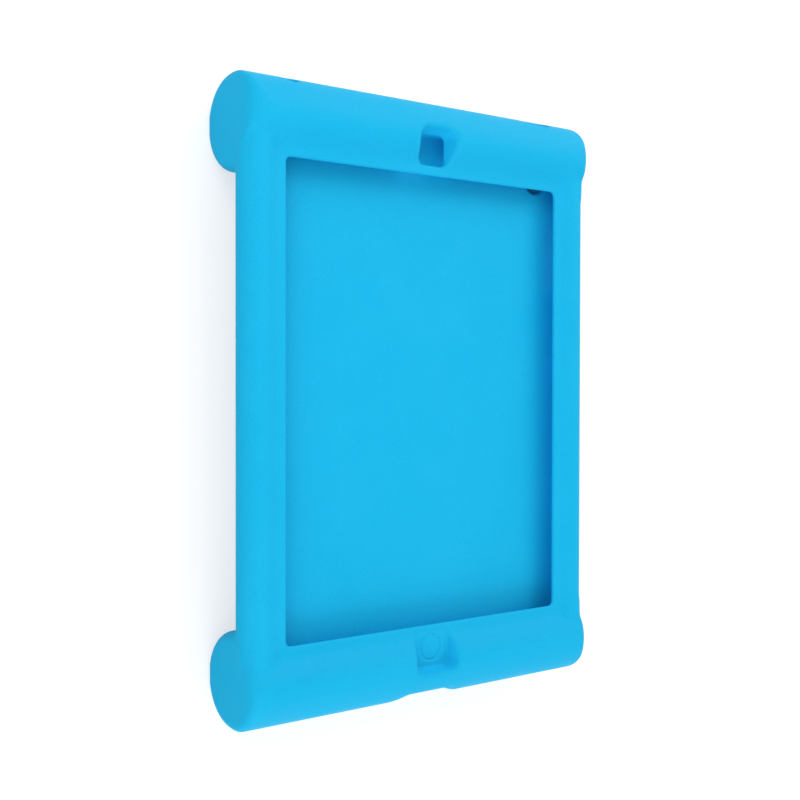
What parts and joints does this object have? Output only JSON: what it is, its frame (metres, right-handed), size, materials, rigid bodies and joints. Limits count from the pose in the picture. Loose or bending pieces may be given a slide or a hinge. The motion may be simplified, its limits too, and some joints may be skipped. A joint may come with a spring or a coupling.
{
  "type": "shockproof tablet case",
  "caption": "Thick moulded foam case that wraps a tablet, with a round shock bar across each end, an open screen window and openings for its cameras, keys and plugs.",
  "frame": {"origin": "under the middle of the case, on the surface that its two bars lie on", "axes": "+X to the right and +Y up for a reader who faces the screen window, +Z the way the screen faces; the case lies on its back"},
  "size_m": [0.192, 0.2702, 0.0392],
  "materials": {
    "blue_foam": "satin moulded closed-cell foam"
  },
  "bodies": {
    "root": {"case_body": "blue_foam"}
  },
  "joints": []
}
